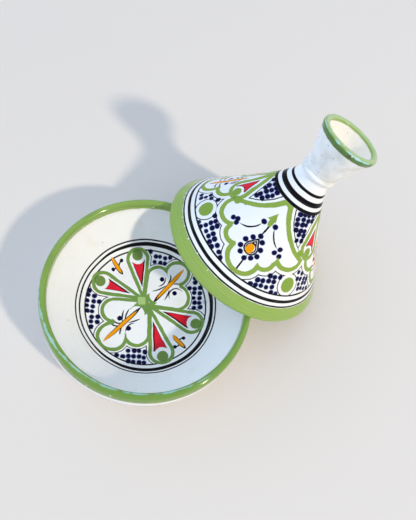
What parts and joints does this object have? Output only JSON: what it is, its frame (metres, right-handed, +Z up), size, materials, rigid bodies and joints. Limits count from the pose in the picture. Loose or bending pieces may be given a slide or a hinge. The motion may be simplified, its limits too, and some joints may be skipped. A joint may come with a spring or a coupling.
{
  "type": "tagine pot",
  "caption": "Round glazed clay serving dish with its conical lid, taken off and leaning on the dish's rim; the lid ends in a flared hollow knob.",
  "frame": {"origin": "on the dish's axis, at the level of the table that its foot ring stands on", "axes": "+Z up along the dish's axis; the lid leans towards +X and +Y"},
  "size_m": [0.3061, 0.273, 0.2056],
  "materials": {
    "dish_glaze": "gloss white glaze, painted in green, navy, black, orange and red",
    "lid_glaze": "gloss white glaze, painted in green, navy, black, orange and red"
  },
  "bodies": {
    "dish": {"dish": "dish_glaze"},
    "lid": {"lid": "lid_glaze"}
  },
  "joints": [
    {"name": "lid_lift", "type": "slide", "parent": "dish", "child": "lid", "axis": [0, 0, 1], "range_m": [0, 0.1]}
  ]
}
